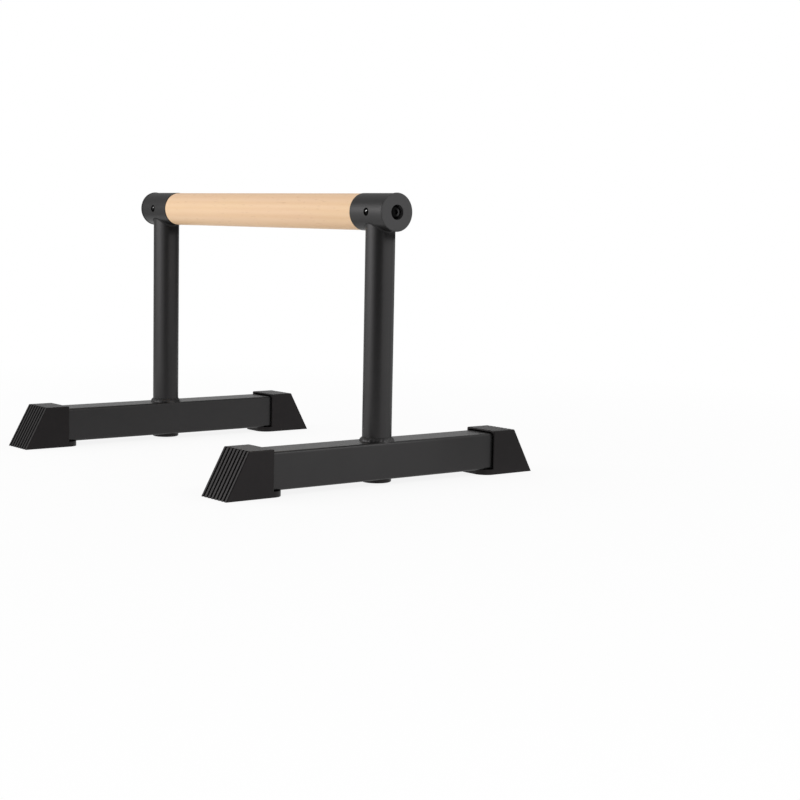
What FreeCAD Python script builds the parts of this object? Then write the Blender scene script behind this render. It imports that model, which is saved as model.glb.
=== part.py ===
# Parallette bar: a turned wooden handle clamped between two welded steel stands on ribbed rubber feet.
# X runs along the handle, Y along the floor beams and Z up from the floor. Sizes are in millimetres.
import FreeCAD, Part
import math
import os

# Overall sizes
post_spacing = 440.0
handle_height = 289.0
base_length = 410.0

# Wooden handle with a turned tenon at each end
handle_diameter = 39.0
shoulder_depth = 1.7
shoulder_round = 1.2
shoulder_round_limit_share = 0.8
tenon_clearance = 0.1
tenon_chamfer = 1.0

# Socket tubes that hold the handle's tenons
socket_wall = 2.0
socket_end_round = 0.4
socket_inner_reach = 29.0
socket_outer_reach = 26.0

# Upright posts
post_diameter = 31.8
post_wall = 2.0

# Floor beams, square tube
beam_width = 40.0
beam_height = 40.0
beam_wall = 2.0
beam_corner_radius = 3.0

# Weld beads
saddle_weld_radius = 3.0
base_weld_width = 3.0
base_weld_height = 4.5
base_weld_hollow_share = 0.36

# Rubber feet pushed over the beam ends
foot_floor = 6.0
foot_side_wall = 3.4
foot_top_wall = 3.0
foot_end_wall = 5.0
foot_fit = 0.1
foot_sleeve = 57.5
foot_slope_run = 27.0
foot_edge_radius = 1.2
foot_flare = 1.6
foot_flare_depth = 5.0
tongue_length = 14.5
tongue_corner_radius = 14.0
rib_groove_count = 7
rib_groove_pitch = 6.2
rib_groove_width = 3.0
rib_groove_floor = 1.6
rib_groove_depth = 2.0

# Plastic end plugs in the sockets' outer ends
plug_flange_lip = 0.5
plug_flange = 2.2
plug_flange_round = 0.7
plug_seam_width = 0.6
plug_seam_depth = 1.0
plug_spigot = 12.0
plug_fit = 0.1
plug_web = 6.0
plug_recess_diameter = 16.0
plug_ring_count = 3
plug_ring_groove = 1.0
plug_ring_depth = 0.8

# Button-head bolts with washers and threaded inserts, on the handle's axis
bolt_diameter = 8.0
bolt_length = 26.0
bolt_head_diameter = 14.0
bolt_head_height = 4.4
bolt_head_rim = 1.2
bolt_hex_width = 5.0
bolt_hex_depth = 2.6
bolt_clearance = 0.3
bolt_end_chamfer = 0.8
washer_diameter = 15.0
washer_thickness = 1.6
insert_diameter = 12.0
insert_length = 20.0
insert_flange_diameter = 15.0
insert_flange = 1.2
insert_fit = 0.05
thread_fit = 0.05
tenon_gap = 0.3

# Lock screws through the sockets' sides into the tenons
lock_flange_diameter = 8.2
lock_flange = 1.2
lock_head_diameter = 5.4
lock_head_height = 3.0
lock_head_rim = 0.5
lock_shank_diameter = 3.6
lock_shank_length = 8.5
lock_tip_chamfer = 0.9
lock_hole_gap = 0.2
lock_fit = 0.05
lock_recess_width = 2.0
lock_recess_depth = 1.2

# Round pads under the beams' middles, each with a screw and a washer
pad_diameter = 32.6
pad_floor_gap = 1.6
pad_edge_radius = 1.4
pad_web = 1.5
pad_recess_gap = 0.5
pad_washer_diameter = 11.0
pad_washer_thickness = 0.8
pad_screw_diameter = 4.8
pad_screw_length = 10.0
pad_screw_tip_chamfer = 1.2
pad_screw_head_diameter = 8.6
pad_screw_head_height = 1.8
pad_screw_head_rim = 0.8
pad_screw_recess_width = 3.0
pad_screw_recess_depth = 1.0
pad_screw_fit = 0.1

# Every cutting tool runs past its face by this much
overrun = 5.0

# Radii, heights and stations that follow from the sizes above
handle_radius = handle_diameter / 2
tenon_radius = handle_radius - shoulder_depth
socket_bore_radius = tenon_radius + tenon_clearance
socket_radius = socket_bore_radius + socket_wall
post_radius = post_diameter / 2
beam_top = foot_floor + beam_height
foot_height = beam_top + foot_fit + foot_top_wall
foot_width = beam_width + 2 * (foot_fit + foot_side_wall)
base_half = base_length / 2
foot_mouth = base_half - foot_sleeve
beam_half = base_half - foot_slope_run * beam_top / foot_height - foot_end_wall
plug_face = socket_outer_reach + plug_flange
plug_inner_end = socket_outer_reach - plug_spigot
plug_seat = plug_inner_end + plug_web
insert_outer_face = plug_inner_end - tenon_gap
tenon_end = insert_outer_face - insert_flange
bolt_seat = plug_seat + washer_thickness
bolt_tip = bolt_seat - bolt_length
bolt_radius = bolt_diameter / 2
lock_seat = tenon_radius - lock_flange
lock_hole_radius = lock_flange_diameter / 2 + lock_hole_gap
pad_seat = foot_floor - pad_web
pad_screw_seat = pad_seat - pad_washer_thickness

ORIGIN = FreeCAD.Vector(0, 0, 0)
X_AXIS = FreeCAD.Vector(1, 0, 0)
Y_AXIS = FreeCAD.Vector(0, 1, 0)
Z_AXIS = FreeCAD.Vector(0, 0, 1)


def polygon_face(points):
    """Flat face through the given corner points."""
    return Part.Face(Part.makePolygon(points + points[:1]))


def turned(outline):
    """Solid turned about X from (station, radius) corners."""
    corners = [FreeCAD.Vector(station, radius, 0) for station, radius in outline]
    return polygon_face(corners).revolve(ORIGIN, X_AXIS, 360)


def bar_along_x(radius, start, end):
    """Round bar on the X axis between two stations."""
    return Part.makeCylinder(radius, end - start, FreeCAD.Vector(start, 0, 0), X_AXIS)


def hexagon_bar(width, start, end):
    """Six-sided bar on the X axis, its width measured across the flats."""
    corner_radius = width / 2 / math.cos(math.pi / 6)
    angles = [math.pi / 3 * corner for corner in range(6)]
    corners = [
        FreeCAD.Vector(start, corner_radius * math.cos(angle), corner_radius * math.sin(angle))
        for angle in angles
    ]
    return polygon_face(corners).extrude(FreeCAD.Vector(end - start, 0, 0))


def domed_screw(shank, length, shank_chamfer, head, height, rim, recess, recess_depth):
    """Screw on X with its head's underside at zero, its shank towards minus X and a hexagon recess."""
    shank_radius = shank / 2
    head_radius = head / 2
    crown_radius = recess / 2 + rim
    tip = FreeCAD.Vector(-length, 0, 0)
    edges = [
        Part.makePolygon([
            tip,
            FreeCAD.Vector(-length, shank_radius - shank_chamfer, 0),
            FreeCAD.Vector(shank_chamfer - length, shank_radius, 0),
            FreeCAD.Vector(0, shank_radius, 0),
            FreeCAD.Vector(0, head_radius, 0),
            FreeCAD.Vector(rim, head_radius, 0),
        ])
    ]
    crown_start = FreeCAD.Vector(rim, head_radius, 0)
    crown_end = FreeCAD.Vector(height, crown_radius, 0)
    crown_middle_share = math.sqrt(0.5)
    crown_middle = FreeCAD.Vector(
        rim + (height - rim) * crown_middle_share,
        crown_radius + (head_radius - crown_radius) * crown_middle_share,
        0,
    )
    edges.append(Part.Wire(Part.Arc(crown_start, crown_middle, crown_end).toShape()))
    edges.append(Part.makePolygon([crown_end, FreeCAD.Vector(height, 0, 0), tip]))
    outline = Part.Wire([edge for wire in edges for edge in wire.Edges])
    screw = Part.Face(outline).revolve(ORIGIN, X_AXIS, 360)
    return screw.cut(hexagon_bar(recess, height - recess_depth, height + overrun))


def at_handle(shape):
    """Lift a piece made on the X axis to the handle's axis."""
    shape.translate(FreeCAD.Vector(0, 0, handle_height))
    return shape


def rounded_bar(width, height, radius, bottom, start, end):
    """Bar along Y with four equal round corners, standing on the given height."""
    bar = Part.makeBox(width, end - start, height, FreeCAD.Vector(-width / 2, start, bottom))
    lengthwise = [edge for edge in bar.Edges if edge.Vertexes[0].Y != edge.Vertexes[1].Y]
    return bar.makeFillet(radius, lengthwise)


def make_handle():
    """Wooden grip with rounded shoulders, tenons, insert bores and counterbored lock screw pilots."""
    half_post_spacing = post_spacing / 2
    shoulder = half_post_spacing - socket_inner_reach
    barrel = bar_along_x(handle_radius, -shoulder, shoulder)
    rims = [edge for edge in barrel.Edges if isinstance(edge.Curve, Part.Circle)]
    barrel = barrel.makeFillet(min(shoulder_round, shoulder_round_limit_share * shoulder_depth), rims)
    reach = half_post_spacing + tenon_end
    tenons = turned([
        (-reach, 0),
        (-reach, tenon_radius - tenon_chamfer),
        (tenon_chamfer - reach, tenon_radius),
        (reach - tenon_chamfer, tenon_radius),
        (reach, tenon_radius - tenon_chamfer),
        (reach, 0),
    ])
    handle = barrel.fuse(tenons).removeSplitter()
    bore_end = half_post_spacing + min(insert_outer_face - insert_length, bolt_tip) - thread_fit
    bore = bar_along_x(insert_diameter / 2 + insert_fit, bore_end, reach + overrun)
    pilot_tip = lock_shank_length + lock_fit - lock_seat
    pilot = Part.makeCylinder(
        lock_shank_diameter / 2 + lock_fit,
        tenon_radius + pilot_tip,
        FreeCAD.Vector(half_post_spacing, pilot_tip, 0),
        -Y_AXIS,
    )
    seat = Part.makeCylinder(
        lock_hole_radius,
        lock_flange + overrun,
        FreeCAD.Vector(half_post_spacing, -lock_seat, 0),
        -Y_AXIS,
    )
    cuts = [bore, pilot, seat]
    cuts += [cut.mirror(ORIGIN, X_AXIS) for cut in cuts]
    return at_handle(handle.cut(cuts))


def make_socket():
    """Short tube with rounded end edges across the post's top, with the lock screw's hole in its side."""
    tube = bar_along_x(socket_radius, -socket_inner_reach, socket_outer_reach)
    rims = [edge for edge in tube.Edges if isinstance(edge.Curve, Part.Circle)]
    tube = tube.makeFillet(socket_end_round, rims)
    bore = bar_along_x(socket_bore_radius, -socket_inner_reach - overrun, socket_outer_reach + overrun)
    hole = Part.makeCylinder(lock_hole_radius, socket_radius + overrun, ORIGIN, -Y_AXIS)
    return at_handle(tube.cut([bore, hole]))


def solid_socket():
    """The socket's outside as a full bar, for shaping what meets it."""
    return at_handle(bar_along_x(socket_radius, -socket_inner_reach, socket_outer_reach))


def solid_post(radius):
    """Upright bar from the beam's top to the handle's axis."""
    return Part.makeCylinder(radius, handle_height - beam_top, FreeCAD.Vector(0, 0, beam_top), Z_AXIS)


def make_post():
    """Upright tube with its top end saddle cut to the socket."""
    tube = solid_post(post_radius).cut(solid_post(post_radius - post_wall))
    return tube.cut(solid_socket())


def make_saddle_weld():
    """Fillet bead that follows the saddle where the post meets the socket."""
    corner = solid_post(post_radius).fuse(solid_socket())
    saddle = [
        edge
        for edge in corner.Edges
        if not isinstance(edge.Curve, (Part.Line, Part.Circle))
    ]
    return corner.makeFillet(saddle_weld_radius, saddle).cut(corner)


def make_base_weld():
    """Bead round the post's foot, hollow in profile and wrapped over the beam's round corners."""
    inner = FreeCAD.Vector(post_radius, 0, beam_top + base_weld_height)
    outer = FreeCAD.Vector(post_radius + base_weld_width, 0, beam_top)
    middle = FreeCAD.Vector(
        post_radius + base_weld_hollow_share * base_weld_width,
        0,
        beam_top + base_weld_hollow_share * base_weld_height,
    )
    low_z = beam_top - beam_corner_radius
    skirt = Part.makePolygon([
        outer,
        FreeCAD.Vector(outer.x, 0, low_z),
        FreeCAD.Vector(inner.x, 0, low_z),
        inner,
    ])
    outline = Part.Wire([Part.Arc(inner, middle, outer).toShape()] + skirt.Edges)
    bead = Part.Face(outline).revolve(ORIGIN, Z_AXIS, 360)
    return bead.cut(solid_beam(0))


def solid_beam(inset):
    """The beam's outside, or its inside when inset by the wall, as a full bar."""
    return rounded_bar(
        beam_width - 2 * inset,
        beam_height - 2 * inset,
        beam_corner_radius - inset,
        foot_floor + inset,
        -beam_half,
        beam_half,
    )


def make_beam():
    """Square floor tube, open at its ends, with a hole below for the pad's screw."""
    tube = solid_beam(0).cut(solid_beam(beam_wall))
    hole_radius = pad_screw_diameter / 2 + pad_screw_fit
    hole = Part.makeCylinder(hole_radius, foot_floor + beam_height / 2, ORIGIN, Z_AXIS)
    return tube.cut(hole)


def make_foot():
    """Rubber cap for the beam's far end: sleeve, sloped ribbed nose and a tongue under the beam."""
    half_width = foot_width / 2
    nose_top = base_half - foot_slope_run
    side = polygon_face([
        FreeCAD.Vector(-half_width, foot_mouth, 0),
        FreeCAD.Vector(-half_width, base_half, 0),
        FreeCAD.Vector(-half_width, nose_top, foot_height),
        FreeCAD.Vector(-half_width, foot_mouth, foot_height),
    ])
    block = side.extrude(FreeCAD.Vector(foot_width, 0, 0))
    off_floor = [edge for edge in block.Edges if max(vertex.Z for vertex in edge.Vertexes) > foot_floor]
    block = block.makeFillet(foot_edge_radius, off_floor)

    tongue = Part.makeBox(
        foot_width,
        tongue_length + foot_sleeve / 2,
        foot_floor,
        FreeCAD.Vector(-half_width, foot_mouth - tongue_length, 0),
    )
    inner_corners = [
        edge
        for edge in tongue.Edges
        if edge.Vertexes[0].Z != edge.Vertexes[1].Z and edge.Vertexes[0].Y < foot_mouth
    ]
    tongue = tongue.makeFillet(tongue_corner_radius, inner_corners)

    pocket = rounded_bar(
        beam_width + 2 * foot_fit,
        beam_height + foot_fit,
        beam_corner_radius,
        foot_floor,
        foot_mouth - tongue_length - overrun,
        beam_half,
    )
    flare = Part.makeLoft([flare_section(foot_flare, 0), flare_section(0, foot_flare_depth)], True, True)
    return block.fuse(tongue).removeSplitter().cut([pocket, flare] + rib_grooves())


def flare_section(spread, depth):
    """Outline of the sleeve's flared mouth, spread beyond the beam's fit, at a depth from the mouth."""
    bar = rounded_bar(
        beam_width + 2 * (foot_fit + spread),
        beam_height + foot_fit + spread,
        beam_corner_radius + spread,
        foot_floor,
        foot_mouth + depth,
        beam_half,
    )
    end = min(bar.Faces, key=lambda face: face.CenterOfMass.y)
    return end.OuterWire


def rib_grooves():
    """Cutting bars for the tapered grooves that run down the foot's sloped nose."""
    slope = FreeCAD.Vector(0, -foot_slope_run, foot_height)
    run = slope.Length
    slope.normalize()
    outward = FreeCAD.Vector(0, foot_height, foot_slope_run)
    outward.normalize()
    low_edge = FreeCAD.Vector(0, base_half, 0)
    section = [
        (-rib_groove_width / 2, overrun),
        (-rib_groove_width / 2, 0),
        (-rib_groove_floor / 2, -rib_groove_depth),
        (rib_groove_floor / 2, -rib_groove_depth),
        (rib_groove_width / 2, 0),
        (rib_groove_width / 2, overrun),
    ]
    grooves = []
    for index in range(rib_groove_count):
        across = (index - (rib_groove_count - 1) / 2) * rib_groove_pitch
        start = low_edge - slope * overrun + X_AXIS * across
        corners = [start + X_AXIS * sideways + outward * height for sideways, height in section]
        grooves.append(polygon_face(corners).extrude(slope * (run + 2 * overrun)))
    return grooves


def make_plug():
    """Plug with a ringed spigot, a flange with a narrow seam behind it and a recess for the bolt's head."""
    spigot_radius = socket_bore_radius - plug_fit
    flange_radius = socket_radius + plug_flange_lip
    seam_radius = socket_radius - plug_seam_depth
    seam_side = socket_outer_reach + plug_seam_width
    ring_pitch = plug_spigot / (plug_ring_count + 1)
    outline = [(plug_inner_end, bolt_radius + bolt_clearance), (plug_inner_end, spigot_radius)]
    for ring in range(plug_ring_count):
        groove = plug_inner_end + (ring + 1) * ring_pitch
        outline += [
            (groove - plug_ring_groove / 2, spigot_radius),
            (groove - plug_ring_groove / 2, spigot_radius - plug_ring_depth),
            (groove + plug_ring_groove / 2, spigot_radius - plug_ring_depth),
            (groove + plug_ring_groove / 2, spigot_radius),
        ]
    outline += [
        (socket_outer_reach, spigot_radius),
        (socket_outer_reach, seam_radius),
        (seam_side, seam_radius),
        (seam_side, flange_radius),
        (plug_face, flange_radius),
        (plug_face, plug_recess_diameter / 2),
        (plug_seat, plug_recess_diameter / 2),
        (plug_seat, bolt_radius + bolt_clearance),
    ]
    plug = turned(outline)
    rims = [
        edge
        for edge in plug.Edges
        if isinstance(edge.Curve, Part.Circle) and edge.Curve.Radius > socket_radius
    ]
    return at_handle(plug.makeFillet(plug_flange_round, rims))


def make_end_washer():
    """Flat washer between the plug's web and the bolt's head."""
    ring = bar_along_x(washer_diameter / 2, plug_seat, bolt_seat)
    hole = bar_along_x(bolt_radius + bolt_clearance, plug_seat - overrun, bolt_seat + overrun)
    return at_handle(ring.cut(hole))


def make_end_bolt():
    """Button-head bolt that draws the handle's shoulder and the plug onto the socket."""
    bolt = domed_screw(
        bolt_diameter,
        bolt_length,
        bolt_end_chamfer,
        bolt_head_diameter,
        bolt_head_height,
        bolt_head_rim,
        bolt_hex_width,
        bolt_hex_depth,
    )
    bolt.translate(FreeCAD.Vector(bolt_seat, 0, 0))
    return at_handle(bolt)


def make_insert():
    """Flanged threaded sleeve set into the tenon's end."""
    bore = bolt_radius + thread_fit
    inner_end = insert_outer_face - insert_length
    sleeve = turned([
        (inner_end, bore),
        (inner_end, insert_diameter / 2),
        (tenon_end, insert_diameter / 2),
        (tenon_end, insert_flange_diameter / 2),
        (insert_outer_face, insert_flange_diameter / 2),
        (insert_outer_face, bore),
    ])
    return at_handle(sleeve)


def make_lock_screw():
    """Small domed screw whose flange fills the tenon's counterbore behind the socket's side hole."""
    screw = domed_screw(
        lock_shank_diameter,
        lock_shank_length,
        lock_tip_chamfer,
        lock_head_diameter,
        lock_head_height,
        lock_head_rim,
        lock_recess_width,
        lock_recess_depth,
    )
    screw = screw.fuse(bar_along_x(lock_flange_diameter / 2, 0, lock_flange)).removeSplitter()
    screw.rotate(ORIGIN, Z_AXIS, -90)
    screw.translate(FreeCAD.Vector(0, -lock_seat, 0))
    return at_handle(screw)


def make_pad():
    """Round rubber pad under the beam's middle, recessed below for its screw."""
    underside = FreeCAD.Vector(0, 0, pad_floor_gap)
    disc = Part.makeCylinder(pad_diameter / 2, foot_floor - pad_floor_gap, underside, Z_AXIS)
    low_rim = [
        edge
        for edge in disc.Edges
        if isinstance(edge.Curve, Part.Circle) and edge.CenterOfMass.z < pad_floor_gap + pad_web
    ]
    disc = disc.makeFillet(pad_edge_radius, low_rim)
    recess = Part.makeCylinder(pad_washer_diameter / 2 + pad_recess_gap, pad_seat, ORIGIN, Z_AXIS)
    hole = Part.makeCylinder(pad_screw_diameter / 2 + pad_screw_fit, foot_floor + overrun, ORIGIN, Z_AXIS)
    return disc.cut([recess, hole])


def make_pad_washer():
    """Thin washer that spreads the pad screw's pull over the rubber."""
    base = FreeCAD.Vector(0, 0, pad_screw_seat)
    ring = Part.makeCylinder(pad_washer_diameter / 2, pad_washer_thickness, base, Z_AXIS)
    return ring.cut(Part.makeCylinder(pad_screw_diameter / 2 + pad_screw_fit, beam_top, ORIGIN, Z_AXIS))


def make_pad_screw():
    """Screw up through the pad into the beam's lower wall."""
    screw = domed_screw(
        pad_screw_diameter,
        pad_screw_length,
        pad_screw_tip_chamfer,
        pad_screw_head_diameter,
        pad_screw_head_height,
        pad_screw_head_rim,
        pad_screw_recess_width,
        pad_screw_recess_depth,
    )
    screw.rotate(ORIGIN, Y_AXIS, 90)
    screw.translate(FreeCAD.Vector(0, 0, pad_screw_seat))
    return screw


def on_front(shape):
    """Move a piece from the post's own frame to the front stand, at plus X."""
    placed = shape.copy()
    placed.translate(FreeCAD.Vector(post_spacing / 2, 0, 0))
    return placed


def on_rear(shape):
    """Mirror a piece onto the rear stand, at minus X."""
    return on_front(shape).mirror(ORIGIN, X_AXIS)


def build():
    """All pieces by name."""
    pieces = {"handle": make_handle()}
    foot = make_foot()
    stand = {
        "socket": make_socket(),
        "post": make_post(),
        "beam": make_beam(),
        "saddle_weld": make_saddle_weld(),
        "base_weld": make_base_weld(),
        "right_foot": foot,
        "left_foot": foot.mirror(ORIGIN, Y_AXIS),
        "end_plug": make_plug(),
        "end_washer": make_end_washer(),
        "end_bolt": make_end_bolt(),
        "handle_insert": make_insert(),
        "lock_screw": make_lock_screw(),
        "centre_pad": make_pad(),
        "pad_washer": make_pad_washer(),
        "pad_screw": make_pad_screw(),
    }
    for name, shape in stand.items():
        pieces["front_" + name] = on_front(shape)
        pieces["rear_" + name] = on_rear(shape)
    return pieces


os.makedirs("parts", exist_ok=True)
for node, shape in build().items():
    shape.exportStep("parts/" + node + ".step")
    print(node, len(shape.Solids), "solids, valid", shape.isValid(), "volume", round(shape.Volume))
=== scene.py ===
# Looks of a parallette bar: finishes for its solids, weld beads, a white floor, soft light and the camera.
# X runs along the handle, Y along the floor beams and Z up from the floor. Sizes are in metres.
import math
from functools import partial, reduce

import bpy
from mathutils import Matrix, Quaternion, Vector, noise


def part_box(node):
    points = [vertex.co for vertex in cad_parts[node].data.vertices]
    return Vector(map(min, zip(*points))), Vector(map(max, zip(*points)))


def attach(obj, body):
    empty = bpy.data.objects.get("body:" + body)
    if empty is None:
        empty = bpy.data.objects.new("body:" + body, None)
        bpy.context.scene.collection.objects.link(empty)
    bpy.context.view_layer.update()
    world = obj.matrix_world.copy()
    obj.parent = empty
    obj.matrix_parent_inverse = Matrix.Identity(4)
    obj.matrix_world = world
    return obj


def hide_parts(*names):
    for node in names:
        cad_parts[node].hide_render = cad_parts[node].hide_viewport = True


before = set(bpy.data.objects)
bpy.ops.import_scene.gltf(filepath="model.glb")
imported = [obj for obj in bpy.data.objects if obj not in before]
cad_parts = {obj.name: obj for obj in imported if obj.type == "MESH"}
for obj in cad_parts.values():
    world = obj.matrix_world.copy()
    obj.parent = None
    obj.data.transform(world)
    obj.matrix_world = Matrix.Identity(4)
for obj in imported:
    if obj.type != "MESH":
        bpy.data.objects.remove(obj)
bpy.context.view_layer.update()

STANDS = ("front", "rear")
ROOT = "root"

# Camera, worked out from the photograph's own pixels
image_width_px = 800
focal_length_px = 1693.9
sensor_width_mm = 36.0
camera_azimuth = math.radians(51.472)
camera_pitch = math.radians(6.119)
camera_roll = math.radians(1.121)
camera_place = Vector((1.6424, -1.1017, 0.2827))
camera_clip_start = 0.05

# Weld bead round the foot of each post; its legs wander with a noise that is read along a circle
weld_leg_up = 0.0042
weld_leg_out = 0.0030
weld_bulge = 0.0002
weld_ripples = 22
weld_ripple_height = 0.00035
weld_ripple_trail_radians = 1.1
weld_wander = 0.0009
weld_wander_circle = 2.2
weld_wander_out_share = 1.7
weld_root = 0.0004
weld_steps_around = 288
weld_steps_across = 12
beam_corner_radius = 0.003

# Lock screws and end bolts, each with a painted glint: bright metal round a point on its head, placed where
# the glint falls
lock_glint_aside = 0.0004
lock_glint_up = 0.0015
lock_glint_inner = 0.0014
lock_glint_outer = 0.0020
lock_glint_bright = 0.66
bolt_glint_aside = 0.0045
bolt_glint_up = -0.0005
bolt_glint_inner = 0.0025
bolt_glint_outer = 0.0055
bolt_glint_bright = 0.05

# Depth inside a socket over which the tenon fades to a painted shade, near black, for the dark inside the
# sockets and lock holes
tenon_shade_depth = 0.001

# Values of a noise in its hollows and at its tops, between which a finish drifts
noise_hollow = 0.3
noise_top = 0.7

# Floor and world
floor_half_width = 30.0
floor_drop = 0.0001
floor_albedo = 0.92
floor_white_seen = 0.87
floor_glow_near = 0.72
floor_near_radius = 0.4
floor_far_radius = 1.3
world_fill = 0.80

# Studio cards, small black flags under the sockets that paint the shade of each socket's overhang into the
# posts' reflections, and lights
full_turn = 360.0
card_steps = 24
flag_radius = 0.034
flag_first = 22.0
flag_last = 130.0
flag_gap = 0.0011
flag_heights = {"front": 0.0078, "rear": 0.0102}
light_aim = Vector((0.0, 0.0, 0.15))


def grey(level):
    """Neutral colour."""
    return (level, level, level)


WHITE = grey(1.0)


def middle(node):
    """Middle of a solid's box."""
    low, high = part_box(node)
    return (low + high) / 2


def add_node(tree, kind, **settings):
    """New shader node; a setting names an attribute, or one of its input sockets."""
    node = tree.nodes.new(kind)
    for name, value in settings.items():
        if hasattr(node, name):
            setattr(node, name, value)
        else:
            node.inputs[name.replace("_", " ")].default_value = value
    return node


def new_material(name):
    """Principled material, with its tree and its shader."""
    material = bpy.data.materials.new(name)
    material.use_nodes = True
    tree = material.node_tree
    return material, tree, tree.nodes["Principled BSDF"]


def bare_tree(owner):
    """Emptied node tree of a material or a world."""
    owner.use_nodes = True
    owner.node_tree.nodes.clear()
    return owner.node_tree


def part_place(tree):
    """Place on the part, in metres."""
    return add_node(tree, "ShaderNodeTexCoord").outputs["Object"]


def stretched_noise(tree, per_metre, detail, roughness=0.55):
    """Noise with a number of lumps per metre along each axis."""
    mapping = add_node(tree, "ShaderNodeMapping", Scale=per_metre)
    lumps = add_node(tree, "ShaderNodeTexNoise", Scale=1.0, Detail=detail, Roughness=roughness)
    tree.links.new(part_place(tree), mapping.inputs["Vector"])
    tree.links.new(mapping.outputs["Vector"], lumps.inputs["Vector"])
    return lumps.outputs["Fac"]


def even_noise(tree, per_metre, **settings):
    """Noise with as many lumps per metre along every axis."""
    return stretched_noise(tree, (per_metre, per_metre, per_metre), **settings)


def ramp(tree, source, stops):
    """Colour ramp over (position, colour) stops."""
    node = add_node(tree, "ShaderNodeValToRGB")
    elements = node.color_ramp.elements
    while len(elements) < len(stops):
        elements.new(1.0)
    for element, (position, colour) in zip(elements, stops):
        element.position = position
        element.color = (*colour, 1.0)
    tree.links.new(source, node.inputs["Fac"])
    return node.outputs["Color"]


def span(tree, source, low, high, out_low, out_high):
    """Source mapped from one range of numbers to another, clamped."""
    node = add_node(
        tree, "ShaderNodeMapRange", From_Min=low, From_Max=high, To_Min=out_low, To_Max=out_high
    )
    tree.links.new(source, node.inputs["Value"])
    return node.outputs["Result"]


def tinted(tree, share, colour, tint):
    """Colour multiplied by a share of a tint."""
    node = add_node(tree, "ShaderNodeMix", data_type="RGBA", blend_type="MULTIPLY", Factor=share)
    tree.links.new(colour, node.inputs["A"])
    tree.links.new(tint, node.inputs["B"])
    return node.outputs["Result"]


def combine(tree, operation, first, second):
    """Two numbers put through one sum."""
    node = add_node(tree, "ShaderNodeMath", operation=operation)
    tree.links.new(first, node.inputs[0])
    tree.links.new(second, node.inputs[1])
    return node.outputs["Value"]


def colour_by(tree, shader, lumps, hollow, top):
    """Base colour that drifts with a noise."""
    colour = ramp(tree, lumps, [(noise_hollow, hollow), (noise_top, top)])
    tree.links.new(colour, shader.inputs["Base Color"])


def roughen_by(tree, shader, lumps, hollow, top):
    """Roughness that drifts with a noise."""
    tree.links.new(span(tree, lumps, noise_hollow, noise_top, hollow, top), shader.inputs["Roughness"])


def bump(tree, shader, height, strength, distance):
    """Bump the shader's surface by a height."""
    node = add_node(tree, "ShaderNodeBump", Strength=strength, Distance=distance)
    tree.links.new(height, node.inputs["Height"])
    tree.links.new(node.outputs["Normal"], shader.inputs["Normal"])


def tenon_shade(tree):
    """Painted shade mask: 0 along the grip, 1 on the tenons inside the sockets."""
    along = add_node(tree, "ShaderNodeSeparateXYZ")
    tree.links.new(part_place(tree), along.inputs["Vector"])
    front_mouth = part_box("front_socket")[0].x
    rear_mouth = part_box("rear_socket")[1].x
    front = span(tree, along.outputs["X"], front_mouth, front_mouth + tenon_shade_depth, 0.0, 1.0)
    rear = span(tree, along.outputs["X"], rear_mouth, rear_mouth - tenon_shade_depth, 0.0, 1.0)
    return combine(tree, "MAXIMUM", front, rear)


def wood():
    """Pale beech, grain along X: growth rings, streaks, dashes and flecks under a satin oil; the tenons
    inside the sockets carry a painted shade.
    """
    ring_centre = (0.0, 0.062, 0.045)
    ring_stretch = (0.10, 1.0, 1.0)
    ring_stops = [
        (0.0, (0.855, 0.584, 0.361)),
        (0.45, (0.868, 0.602, 0.381)),
        (1.0, (0.878, 0.616, 0.397)),
    ]
    streak_share = 0.6
    streak_stops = [(0.28, (0.955, 0.935, 0.905)), (0.62, WHITE)]
    fleck_share = 0.4
    fleck_stops = [(0.27, (0.86, 0.80, 0.74)), (0.36, WHITE)]
    dash_share = 0.8
    dash_stops = [(0.26, (0.86, 0.82, 0.78)), (0.34, WHITE)]
    drift_share = 1.0
    drift_stops = [(0.35, (1.0, 0.998, 0.965)), (0.65, (1.0, 0.984, 1.0))]
    # Painted shade: the tenons inside the sockets go near black, for the dark seen down the lock holes
    tenon_shade_share = 1.0
    tenon_shade_stops = [(0.0, WHITE), (1.0, grey(0.03))]
    shine = 0.4

    material, tree, shader = new_material("beech_oiled")
    mapping = add_node(tree, "ShaderNodeMapping", Location=ring_centre, Scale=ring_stretch)
    rings = add_node(
        tree, "ShaderNodeTexWave", wave_type="RINGS", rings_direction="X",
        Scale=42.0, Distortion=3.6, Detail=3.0, Detail_Scale=0.6,
    )
    tree.links.new(part_place(tree), mapping.inputs["Vector"])
    tree.links.new(mapping.outputs["Vector"], rings.inputs["Vector"])
    streaks = stretched_noise(tree, per_metre=(4.0, 150.0, 150.0), detail=4.0)
    flecks = stretched_noise(tree, per_metre=(170.0, 2300.0, 2300.0), detail=2.0)
    dashes = stretched_noise(tree, per_metre=(70.0, 620.0, 620.0), detail=1.0)
    drift = stretched_noise(tree, per_metre=(7.0, 50.0, 50.0), detail=2.0)
    colour = ramp(tree, rings.outputs["Fac"], ring_stops)
    for share, pattern, stops in (
        (streak_share, streaks, streak_stops),
        (fleck_share, flecks, fleck_stops),
        (dash_share, dashes, dash_stops),
        (drift_share, drift, drift_stops),
        (tenon_shade_share, tenon_shade(tree), tenon_shade_stops),
    ):
        colour = tinted(tree, share, colour, ramp(tree, pattern, stops))
    tree.links.new(colour, shader.inputs["Base Color"])
    roughen_by(tree, shader, streaks, hollow=0.56, top=0.46)
    shader.inputs["Specular IOR Level"].default_value = shine
    bump(tree, shader, flecks, strength=0.10, distance=0.0002)
    return material


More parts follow.
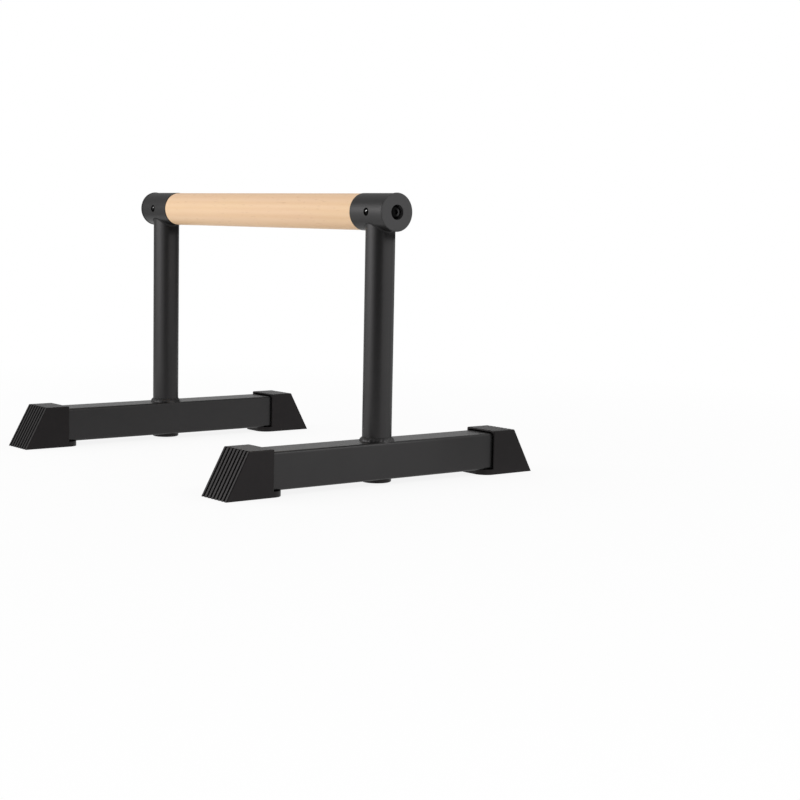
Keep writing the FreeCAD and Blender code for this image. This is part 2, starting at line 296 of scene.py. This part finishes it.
def powder_coat(name, shine, rough_low, rough_high):
    """Black powder coat over steel: satin, with a fine orange peel."""
    warm_gloss = (1.0, 0.972, 0.985, 1.0)

    material, tree, shader = new_material(name)
    peel = even_noise(tree, per_metre=900.0, detail=3.0)
    cloud = even_noise(tree, per_metre=40.0, detail=3.0)
    colour_by(tree, shader, cloud, hollow=(0.0072, 0.0071, 0.0072), top=(0.0092, 0.0090, 0.0090))
    roughen_by(tree, shader, peel, rough_low, rough_high)
    shader.inputs["Specular IOR Level"].default_value = shine
    shader.inputs["Specular Tint"].default_value = warm_gloss
    bump(tree, shader, peel, strength=0.16, distance=0.0002)
    return material


def rubber():
    """Moulded black rubber: matt, finely grained, a little dusty."""
    dust_stops = [(0.35, (0.0034, 0.0029, 0.0030)), (0.75, (0.0054, 0.0047, 0.0047))]
    shine = 0.32
    warm_gloss = (1.0, 0.93, 0.945, 1.0)

    material, tree, shader = new_material("rubber_black")
    grain = even_noise(tree, per_metre=1500.0, detail=4.0)
    dust = even_noise(tree, per_metre=90.0, detail=6.0, roughness=0.65)
    tree.links.new(ramp(tree, dust, dust_stops), shader.inputs["Base Color"])
    roughen_by(tree, shader, grain, hollow=0.34, top=0.46)
    shader.inputs["Specular IOR Level"].default_value = shine
    shader.inputs["Specular Tint"].default_value = warm_gloss
    bump(tree, shader, grain, strength=0.22, distance=0.0002)
    return material


def plug_plastic():
    """Moulded black plastic with a spark-eroded grain."""
    material, tree, shader = new_material("plug_plastic_black")
    grain = even_noise(tree, per_metre=2200.0, detail=2.0)
    colour_by(tree, shader, grain, hollow=(0.034, 0.0333, 0.0343), top=(0.041, 0.0400, 0.0412))
    roughen_by(tree, shader, grain, hollow=0.44, top=0.58)
    bump(tree, shader, grain, strength=0.2, distance=0.0001)
    return material


def metal(name, dark, light, rough_low, rough_high, lumps_per_metre):
    """Metal whose tint and roughness drift over fine lumps."""
    material, tree, shader = new_material(name)
    lumps = even_noise(tree, lumps_per_metre, detail=4.0)
    colour_by(tree, shader, lumps, dark, light)
    roughen_by(tree, shader, lumps, rough_low, rough_high)
    shader.inputs["Metallic"].default_value = 1.0
    bump(tree, shader, lumps, strength=0.05, distance=0.0001)
    return material


def painted_glint_oxide(name, glint_point, inner, outer, bright):
    """Black oxide with a painted glint: bright metal round a point, fading between two distances from it,
    broken up by fine lumps.
    """
    oxide = grey(0.005)
    oxide_rough = 0.38
    glint_point_rough = 0.24
    scuff_top = 0.5
    broken_glint_share = 0.7

    material, tree, shader = new_material(name)
    away = add_node(tree, "ShaderNodeVectorMath", operation="DISTANCE")
    away.inputs[1].default_value = glint_point
    tree.links.new(part_place(tree), away.inputs[0])
    scuffs = even_noise(tree, per_metre=900.0, detail=3.0)
    painted_glint = span(tree, away.outputs["Value"], outer, inner, 0.0, 1.0)
    glint_breakup = span(tree, scuffs, noise_hollow, scuff_top, broken_glint_share, 1.0)
    broken_glint = combine(tree, "MULTIPLY", painted_glint, glint_breakup)
    tree.links.new(ramp(tree, broken_glint, [(0.0, oxide), (1.0, grey(bright))]), shader.inputs["Base Color"])
    tree.links.new(span(tree, broken_glint, 0.0, 1.0, oxide_rough, glint_point_rough), shader.inputs["Roughness"])
    shader.inputs["Metallic"].default_value = 1.0
    bump(tree, shader, scuffs, strength=0.05, distance=0.0001)
    return material


# Finishes by the material slots of the solids in model.glb
MATERIALS = {
    "wood": wood(),
    "powder_coat": powder_coat("powder_coat_black", shine=0.55, rough_low=0.33, rough_high=0.41),
    "rubber": rubber(),
    "plug_plastic": plug_plastic(),
    "black_bolt": metal(
        "black_oxide", dark=grey(0.005), light=grey(0.009),
        rough_low=0.20, rough_high=0.32, lumps_per_metre=700.0,
    ),
    "zinc_steel": metal(
        "zinc_plated_steel", dark=grey(0.60), light=grey(0.74),
        rough_low=0.20, rough_high=0.34, lumps_per_metre=600.0,
    ),
    "insert_brass": metal(
        "brass", dark=(0.62, 0.43, 0.17), light=(0.74, 0.54, 0.24),
        rough_low=0.22, rough_high=0.36, lumps_per_metre=500.0,
    ),
}


def dress_solids():
    """Give each solid the finish of its slot, and saddle welds, lock screws and end bolts their own."""
    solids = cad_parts
    for solid in solids.values():
        for slot in solid.material_slots:
            slot.material = MATERIALS[slot.material.name.split(".")[0]]
    weld_coat = powder_coat("powder_coat_on_weld", shine=0.30, rough_low=0.42, rough_high=0.50)
    for stand in STANDS:
        solids[stand + "_saddle_weld"].material_slots[0].material = weld_coat
        # Painted glint: each lock screw and end bolt head is bright metal round a point, placed where a
        # highlight falls
        screw = stand + "_lock_screw"
        head_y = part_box(screw)[0].y
        centre = middle(screw)
        solids[screw].material_slots[0].material = painted_glint_oxide(
            screw + "_oxide", Vector((centre.x - lock_glint_aside, head_y, centre.z + lock_glint_up)),
            lock_glint_inner, lock_glint_outer, lock_glint_bright,
        )
        bolt = stand + "_end_bolt"
        head_x = max((corner.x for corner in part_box(bolt)), key=abs)
        centre = middle(bolt)
        solids[bolt].material_slots[0].material = painted_glint_oxide(
            bolt + "_oxide", Vector((head_x, centre.y + bolt_glint_aside, centre.z + bolt_glint_up)),
            bolt_glint_inner, bolt_glint_outer, bolt_glint_bright,
        )


def ring_piece(name, section, material):
    """Closed ring about the Z axis; section(angle) gives its outline as (radius, height) points."""
    angles = [2 * math.pi * step / weld_steps_around for step in range(weld_steps_around)]
    outlines = [section(angle) for angle in angles]
    corners = len(outlines[0])
    points = [
        (radius * math.cos(angle), radius * math.sin(angle), height)
        for angle, outline in zip(angles, outlines)
        for radius, height in outline
    ]
    faces = []
    for step in range(weld_steps_around):
        here = step * corners
        there = (step + 1) % weld_steps_around * corners
        for corner in range(corners):
            after = (corner + 1) % corners
            faces.append((here + corner, there + corner, there + after, here + after))
    mesh = bpy.data.meshes.new(name)
    mesh.from_pydata(points, [], faces)
    mesh.materials.append(material)
    for face in mesh.polygons:
        face.use_smooth = True
    piece = bpy.data.objects.new(name, mesh)
    bpy.context.scene.collection.objects.link(piece)
    return piece


def beam_surface(beam_top, flat_half_width, radius, angle):
    """Height of a beam's top, rounded at its long edges, at a radius and angle round the post."""
    past = max(0.0, abs(radius * math.cos(angle)) - flat_half_width)
    return beam_top - beam_corner_radius + math.sqrt(beam_corner_radius ** 2 - past ** 2)


def bead_outline(seed, post_radius, ground, angle):
    """Section of a bead between the post and the surface whose height is ground(radius, angle)."""
    wander_at = Vector((weld_wander_circle * math.cos(angle), weld_wander_circle * math.sin(angle), seed))
    up = weld_leg_up + weld_wander * noise.noise(wander_at)
    out = weld_leg_out + weld_wander * noise.noise(wander_at * weld_wander_out_share)
    top = Vector((post_radius, ground(post_radius, angle) + up))
    toe = Vector((post_radius + out, ground(post_radius + out, angle)))
    across = Vector((top.y - toe.y, toe.x - top.x)).normalized()
    outline = []
    for step in range(weld_steps_across + 1):
        share = step / weld_steps_across
        swell = math.sin(math.pi * share)
        phase = weld_ripples * angle / 2 + weld_ripple_trail_radians * share * share
        lift = weld_bulge * swell + weld_ripple_height * swell * abs(math.sin(phase))
        outline.append(tuple(top.lerp(toe, share) + across * lift))
    outline.append((toe.x, toe.y - weld_root))
    outline.append((post_radius - weld_root, top.y - weld_root))
    return outline


def add_base_welds():
    """Lumpy bead round the foot of each post, draped over the beam's rounded edges."""
    for seed, stand in enumerate(STANDS):
        low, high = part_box(stand + "_post")
        beam_low, beam_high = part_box(stand + "_beam")
        post_radius = (high.y - low.y) / 2
        flat_half_width = (beam_high.x - beam_low.x) / 2 - beam_corner_radius
        ground = partial(beam_surface, beam_high.z, flat_half_width)
        section = partial(bead_outline, seed, post_radius, ground)
        piece = ring_piece(stand + "_base_weld_bead", section, MATERIALS["powder_coat"])
        piece.location.x = middle(stand + "_post").x
        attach(piece, ROOT)
        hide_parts(stand + "_base_weld")


def stage_mesh(name, points, faces):
    """Stage surface with a bare material of its own, and that material's tree."""
    mesh = bpy.data.meshes.new(name)
    mesh.from_pydata(points, [], faces)
    material = bpy.data.materials.new(name)
    mesh.materials.append(material)
    surface = bpy.data.objects.new(name, mesh)
    bpy.context.scene.collection.objects.link(surface)
    return surface, bare_tree(material)


def add_floor():
    """White floor that keeps a soft shadow, and to reflections glows greyer near the object, a painted
    shade for its shadow there.
    """
    corners = [(-1, -1), (1, -1), (1, 1), (-1, 1)]
    points = [(x * floor_half_width, y * floor_half_width, -floor_drop) for x, y in corners]
    _, tree = stage_mesh("floor", points, [(0, 1, 2, 3)])
    paint = add_node(tree, "ShaderNodeBsdfDiffuse", Color=(*grey(floor_albedo), 1.0))
    glow = add_node(tree, "ShaderNodeEmission")
    path = add_node(tree, "ShaderNodeLightPath")
    distance = add_node(tree, "ShaderNodeVectorMath", operation="LENGTH")
    mixed = add_node(tree, "ShaderNodeMixShader")
    output = add_node(tree, "ShaderNodeOutputMaterial")
    tree.links.new(part_place(tree), distance.inputs[0])
    away = distance.outputs["Value"]
    seen = span(tree, away, floor_near_radius, floor_far_radius, floor_white_seen, 1.0)
    # Painted shade: reflections see the floor glow weaker near the object, standing in for its shadow there
    reflected = span(tree, away, floor_near_radius, floor_far_radius, floor_glow_near, 1.0)
    strength = combine(tree, "MAXIMUM", path.outputs["Is Camera Ray"], reflected)
    tree.links.new(strength, glow.inputs["Strength"])
    shares = [
        combine(tree, "MULTIPLY", path.outputs["Is Camera Ray"], seen),
        path.outputs["Is Glossy Ray"],
        path.outputs["Is Transmission Ray"],
    ]
    tree.links.new(reduce(partial(combine, tree, "MAXIMUM"), shares), mixed.inputs["Fac"])
    tree.links.new(paint.outputs["BSDF"], mixed.inputs[1])
    tree.links.new(glow.outputs["Emission"], mixed.inputs[2])
    tree.links.new(mixed.outputs["Shader"], output.inputs["Surface"])


def add_world():
    """White all round to the eye and in reflections, and an even soft light on everything."""
    world = bpy.data.worlds.new("studio")
    bpy.context.scene.world = world
    tree = bare_tree(world)
    path = add_node(tree, "ShaderNodeLightPath")
    rays = [path.outputs[kind] for kind in ("Is Camera Ray", "Is Glossy Ray", "Is Transmission Ray")]
    seen = reduce(partial(combine, tree, "MAXIMUM"), rays)
    strength = span(tree, seen, 0.0, 1.0, world_fill, 1.0)
    glow = add_node(tree, "ShaderNodeBackground", Color=(*WHITE, 1.0))
    output = add_node(tree, "ShaderNodeOutputWorld")
    tree.links.new(strength, glow.inputs["Strength"])
    tree.links.new(glow.outputs["Background"], output.inputs["Surface"])


def toward(bearing):
    """Level direction at a bearing in degrees from the camera's own; positive is to the camera's right."""
    azimuth = camera_azimuth + math.radians(bearing)
    return Vector((math.sin(azimuth), -math.cos(azimuth), 0.0))


def stage_card(name, points, faces, shade):
    """Evenly grey stage surface that only reflections see."""
    card, tree = stage_mesh(name, points, faces)
    glow = add_node(tree, "ShaderNodeEmission", Strength=shade)
    output = add_node(tree, "ShaderNodeOutputMaterial")
    tree.links.new(glow.outputs["Emission"], output.inputs["Surface"])
    card.visible_camera = False
    card.visible_diffuse = False
    card.visible_transmission = False
    card.visible_shadow = False


def add_card(name, axis_x, first, last, radius, top, shade, bottom=0.0):
    """Curved grey card about an upright axis at Y zero, between two bearings."""
    points = []
    for step in range(card_steps + 1):
        foot = Vector((axis_x, 0.0, 0.0)) + toward(first + (last - first) * step / card_steps) * radius
        points.append(foot + Vector((0.0, 0.0, bottom)))
        points.append(foot + Vector((0.0, 0.0, top)))
    faces = [(2 * step, 2 * step + 1, 2 * step + 3, 2 * step + 2) for step in range(card_steps)]
    stage_card(name, points, faces, shade)


def add_ceiling(name, radius, height, shade):
    """Round grey card above the object."""
    centre = Vector((0.0, 0.0, height))
    points = [centre + toward(full_turn * step / card_steps) * radius for step in range(card_steps)]
    stage_card(name, points, [tuple(range(card_steps))], shade)


def add_cards():
    """Grey cards round the object, and under each socket a black flag that only reflections see, a painted
    shade for the dark below the socket's overhang.
    """
    rear_x = middle("rear_post").x
    add_card("front_card", axis_x=0.0, first=-26.0, last=26.5, radius=0.87, top=1.0, shade=0.08)
    add_card("right_card", axis_x=rear_x, first=52.0, last=95.0, radius=0.55, top=1.0, shade=0.60)
    add_card("right_back_card", axis_x=rear_x, first=95.0, last=150.0, radius=1.0, top=1.6, shade=0.15)
    add_card("left_card", axis_x=rear_x, first=-150.0, last=-100.0, radius=0.6, top=1.0, shade=0.38)
    back = {"axis_x": 0.0, "first": 150.0, "last": 250.0, "radius": 3.0}
    add_card("low_back_card", **back, top=0.9, shade=0.78)
    add_card("high_back_card", **back, bottom=0.9, top=3.0, shade=0.36)
    # Painted shade: a black flag under each socket, seen only in reflections, darkens the top of each post
    # as the socket's overhang would
    for stand in STANDS:
        flag_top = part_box(stand + "_socket")[0].z - flag_gap
        add_card(
            stand + "_flag", middle(stand + "_post").x, flag_first, flag_last, flag_radius,
            top=flag_top, bottom=flag_top - flag_heights[stand], shade=0.0,
        )
    add_ceiling("ceiling_card", radius=3.0, height=2.2, shade=0.45)


def add_softbox(name, bearing, elevation, roll, distance, width, height, radiance):
    """Rectangular soft light aimed at the object, placed by its bearing from the camera's own."""
    tilt = math.radians(elevation)
    away = toward(bearing) * math.cos(tilt) + Vector((0.0, 0.0, math.sin(tilt)))
    light = bpy.data.lights.new(name, "AREA")
    light.shape = "RECTANGLE"
    light.size = width
    light.size_y = height
    light.energy = radiance * math.pi * width * height
    lamp = bpy.data.objects.new(name, light)
    lamp.location = light_aim + away * distance
    lamp.rotation_mode = "QUATERNION"
    turn = Quaternion(away, math.radians(roll))
    lamp.rotation_quaternion = turn @ (-away).to_track_quat("-Z", "Y")
    lamp.visible_camera = False
    bpy.context.scene.collection.objects.link(lamp)


def add_camera():
    """The photograph's camera."""
    cos_pitch = math.cos(camera_pitch)
    back = Vector((
        math.sin(camera_azimuth) * cos_pitch,
        -math.cos(camera_azimuth) * cos_pitch,
        math.sin(camera_pitch),
    ))
    right = Vector((math.cos(camera_azimuth), math.sin(camera_azimuth), 0.0))
    up = back.cross(right)
    right, up = (
        right * math.cos(camera_roll) + up * math.sin(camera_roll),
        up * math.cos(camera_roll) - right * math.sin(camera_roll),
    )
    camera = bpy.data.objects.new("camera", bpy.data.cameras.new("camera"))
    camera.data.sensor_width = sensor_width_mm
    camera.data.lens = focal_length_px / image_width_px * sensor_width_mm
    camera.data.clip_start = camera_clip_start
    camera.matrix_world = Matrix.Translation(camera_place) @ Matrix((right, up, back)).transposed().to_4x4()
    bpy.context.scene.collection.objects.link(camera)
    bpy.context.scene.camera = camera


dress_solids()
add_base_welds()
add_floor()
add_world()
add_cards()
add_softbox(
    "left_softbox", bearing=-75.0, elevation=15.0, roll=-22.0, distance=1.25,
    width=1.2, height=0.62, radiance=1.7,
)
add_softbox(
    "right_softbox", bearing=66.0, elevation=32.0, roll=0.0, distance=1.5,
    width=0.9, height=0.5, radiance=1.6,
)
add_camera()
bpy.context.scene.view_settings.view_transform = "Standard"
